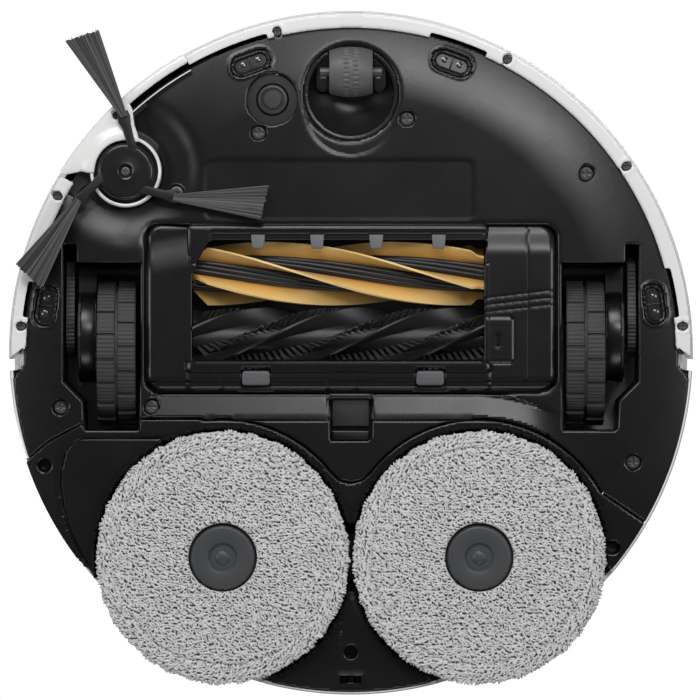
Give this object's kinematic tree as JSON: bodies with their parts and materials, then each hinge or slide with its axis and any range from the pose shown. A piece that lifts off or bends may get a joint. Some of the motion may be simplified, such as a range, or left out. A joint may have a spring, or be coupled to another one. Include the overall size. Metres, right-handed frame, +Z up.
{
  "type": "robot vacuum and mop",
  "caption": "Low round robot vacuum and mop with twin floor rollers, a swing-out side brush, spinning mop pads, sprung wheels, caster, bumper, scanner turret and lift-off cover.",
  "frame": {"origin": "on the floor under the middle of the round body, wheels down", "axes": "+Z up, -Y the front that the bumper covers, -X the right-hand side of the robot"},
  "size_m": [0.35, 0.35, 0.106],
  "materials": {
    "black_plastic": "satin moulded",
    "grey_plastic": "satin moulded",
    "white_plastic": "semi-gloss moulded",
    "smoked_window": "polished, infrared-clear",
    "rubber": "matt",
    "gold_rubber": "satin",
    "bristle": "nylon filament",
    "microfibre": "looped pile",
    "circuit_board": "solder mask",
    "clear_bin": "clear grey",
    "filter_paper": "pleated",
    "metal": "plated"
  },
  "bodies": {
    "chassis": {"base_plate": "black_plastic", "rear_deck": "black_plastic", "cliff_sensor_front_right": "smoked_window", "cliff_sensor_front_left": "smoked_window", "cliff_sensor_right": "smoked_window", "cliff_sensor_left": "smoked_window", "carpet_sensor": "black_plastic", "brush_bay": "black_plastic", "right_wheel_well": "black_plastic", "left_wheel_well": "black_plastic", "caster_cup": "black_plastic", "upper_casing": "white_plastic", "right_charge_contact": "metal", "left_charge_contact": "metal", "left_mop_motor": "metal", "battery_pack": "black_plastic", "main_board": "circuit_board", "suction_fan": "grey_plastic", "water_tank": "clear_bin", "roller_motor": "metal"},
    "deck_latch": {"deck_latch": "grey_plastic"},
    "bumper": {"bumper": "white_plastic", "front_window": "smoked_window"},
    "side_brush_arm": {"side_brush_arm": "white_plastic"},
    "side_brush": {"side_brush_hub": "rubber", "side_brush_tuft_1": "bristle", "side_brush_tuft_2": "bristle", "side_brush_tuft_3": "bristle"},
    "brush_cover": {"brush_cover": "black_plastic"},
    "cover_latch_right": {"cover_latch_right": "grey_plastic"},
    "cover_latch_left": {"cover_latch_left": "grey_plastic"},
    "roller_front": {"roller_front": "gold_rubber"},
    "roller_rear": {"roller_rear": "rubber"},
    "right_suspension": {"right_wheel_gearbox": "black_plastic"},
    "right_wheel": {"right_wheel_tyre": "rubber", "right_wheel_rim": "grey_plastic"},
    "right_leg": {"right_climbing_leg": "black_plastic"},
    "left_suspension": {"left_wheel_gearbox": "black_plastic"},
    "left_wheel": {"left_wheel_tyre": "rubber", "left_wheel_rim": "grey_plastic"},
    "left_leg": {"left_climbing_leg": "black_plastic"},
    "caster_swivel": {"caster_swivel": "black_plastic"},
    "caster_wheel": {"caster_wheel": "grey_plastic", "caster_axle": "metal"},
    "right_mop_arm": {"right_mop_arm": "grey_plastic", "right_mop_motor": "metal"},
    "right_mop_lift": {"right_mop_carriage": "metal"},
    "right_mop": {"right_mop_plate": "grey_plastic", "right_mop_pad": "microfibre"},
    "left_mop_lift": {"left_mop_carriage": "metal"},
    "left_mop": {"left_mop_plate": "grey_plastic", "left_mop_pad": "microfibre"},
    "turret": {"turret_housing": "black_plastic"},
    "lidar": {"lidar_head": "smoked_window"},
    "top_cover": {"top_cover": "white_plastic"},
    "dust_bin": {"dust_bin": "clear_bin", "dust_filter": "filter_paper"},
    "power_button": {"power_button": "grey_plastic"},
    "home_button": {"home_button": "grey_plastic"}
  },
  "joints": [
    {"name": "bumper_push", "type": "slide", "parent": "chassis", "child": "bumper", "axis": [0, 1, 0], "range_m": [0, 0.004], "stiffness_N_per_m": 800, "springref_m": -0.002},
    {"name": "side_brush_swing", "type": "hinge", "parent": "chassis", "child": "side_brush_arm", "pos_m": [-0.0875, -0.1455, 0.01], "axis": [0, 0, 1], "range_deg": [0, 18]},
    {"name": "side_brush_spin", "type": "hinge", "parent": "side_brush_arm", "child": "side_brush", "pos_m": [-0.1151, -0.0927, 0.006], "axis": [0, 0, 1], "continuous": true},
    {"name": "cover_open", "type": "hinge", "parent": "chassis", "child": "brush_cover", "pos_m": [0, -0.0624, 0.012], "axis": [-1, 0, 0], "range_deg": [0, 20]},
    {"name": "cover_latch_right_push", "type": "slide", "parent": "brush_cover", "child": "cover_latch_right", "axis": [0, -1, 0], "range_m": [0, 0.002], "stiffness_N_per_m": 300, "springref_m": -0.001},
    {"name": "cover_latch_left_push", "type": "slide", "parent": "brush_cover", "child": "cover_latch_left", "axis": [0, -1, 0], "range_m": [0, 0.002], "stiffness_N_per_m": 300, "springref_m": -0.001},
    {"name": "deck_latch_push", "type": "slide", "parent": "chassis", "child": "deck_latch", "axis": [0, 1, 0], "range_m": [0, 0.003], "stiffness_N_per_m": 300, "springref_m": -0.001},
    {"name": "roller_front_spin", "type": "hinge", "parent": "chassis", "child": "roller_front", "pos_m": [0, -0.0406, 0.0202], "axis": [1, 0, 0], "continuous": true},
    {"name": "roller_rear_spin", "type": "hinge", "parent": "chassis", "child": "roller_rear", "pos_m": [0, -0.007, 0.0202], "axis": [1, 0, 0], "continuous": true},
    {"name": "caster_swivel_turn", "type": "hinge", "parent": "chassis", "child": "caster_swivel", "pos_m": [0, -0.1329, 0.02], "axis": [0, 0, 1], "continuous": true},
    {"name": "caster_roll", "type": "hinge", "parent": "caster_swivel", "child": "caster_wheel", "pos_m": [0, -0.1438, 0.0129], "axis": [1, 0, 0], "continuous": true},
    {"name": "right_suspension_drop", "type": "hinge", "parent": "chassis", "child": "right_suspension", "pos_m": [-0.135, -0.042, 0.034], "axis": [-1, 0, 0], "range_deg": [0, 15], "stiffness_Nm_per_rad": 0.3, "springref_deg": 57.3},
    {"name": "right_wheel_spin", "type": "hinge", "parent": "right_suspension", "child": "right_wheel", "pos_m": [-0.12, 0, 0.0375], "axis": [1, 0, 0], "continuous": true},
    {"name": "right_leg_swing", "type": "hinge", "parent": "chassis", "child": "right_leg", "pos_m": [-0.144, -0.0138, 0.036], "axis": [1, 0, 0], "range_deg": [0, 60]},
    {"name": "left_suspension_drop", "type": "hinge", "parent": "chassis", "child": "left_suspension", "pos_m": [0.135, -0.042, 0.034], "axis": [-1, 0, 0], "range_deg": [0, 15], "stiffness_Nm_per_rad": 0.3, "springref_deg": 57.3},
    {"name": "left_wheel_spin", "type": "hinge", "parent": "left_suspension", "child": "left_wheel", "pos_m": [0.12, 0, 0.0375], "axis": [1, 0, 0], "continuous": true},
    {"name": "left_leg_swing", "type": "hinge", "parent": "chassis", "child": "left_leg", "pos_m": [0.144, -0.0138, 0.036], "axis": [1, 0, 0], "range_deg": [0, 60]},
    {"name": "right_mop_swing", "type": "hinge", "parent": "chassis", "child": "right_mop_arm", "pos_m": [-0.126, 0.066, 0.025], "axis": [0, 0, 1], "range_deg": [0, 25]},
    {"name": "right_mop_raise", "type": "slide", "parent": "right_mop_arm", "child": "right_mop_lift", "axis": [0, 0, -1], "range_m": [-0.008, 0]},
    {"name": "right_mop_spin", "type": "hinge", "parent": "right_mop_lift", "child": "right_mop", "pos_m": [-0.0655, 0.1044, 0.005], "axis": [0, 0, 1], "continuous": true},
    {"name": "left_mop_raise", "type": "slide", "parent": "chassis", "child": "left_mop_lift", "axis": [0, 0, -1], "range_m": [-0.008, 0]},
    {"name": "left_mop_spin", "type": "hinge", "parent": "left_mop_lift", "child": "left_mop", "pos_m": [0.0655, 0.1044, 0.005], "axis": [0, 0, 1], "continuous": true},
    {"name": "turret_retract", "type": "slide", "parent": "chassis", "child": "turret", "axis": [0, 0, 1], "range_m": [-0.018, 0]},
    {"name": "lidar_spin", "type": "hinge", "parent": "turret", "child": "lidar", "pos_m": [0, 0.062, 0.095], "axis": [0, 0, 1], "continuous": true},
    {"name": "top_cover_lift", "type": "slide", "parent": "chassis", "child": "top_cover", "axis": [0, 0, 1], "range_m": [0, 0.08]},
    {"name": "dust_bin_lift", "type": "slide", "parent": "chassis", "child": "dust_bin", "axis": [0, 0, 1], "range_m": [0, 0.056]},
    {"name": "power_button_press", "type": "slide", "parent": "chassis", "child": "power_button", "axis": [0, 0, -1], "range_m": [0, 0.0012], "stiffness_N_per_m": 500, "springref_m": -0.0005},
    {"name": "home_button_press", "type": "slide", "parent": "chassis", "child": "home_button", "axis": [0, 0, -1], "range_m": [0, 0.0012], "stiffness_N_per_m": 500, "springref_m": -0.0005}
  ],
  "couplings": [
    {"joint": "roller_rear_spin", "follows": "roller_front_spin", "ratio": -1},
    {"joint": "left_mop_spin", "follows": "right_mop_spin", "ratio": -1},
    {"joint": "left_mop_raise", "follows": "right_mop_raise", "ratio": 1},
    {"joint": "dust_bin_lift", "follows": "top_cover_lift", "ratio": 0.7}
  ]
}
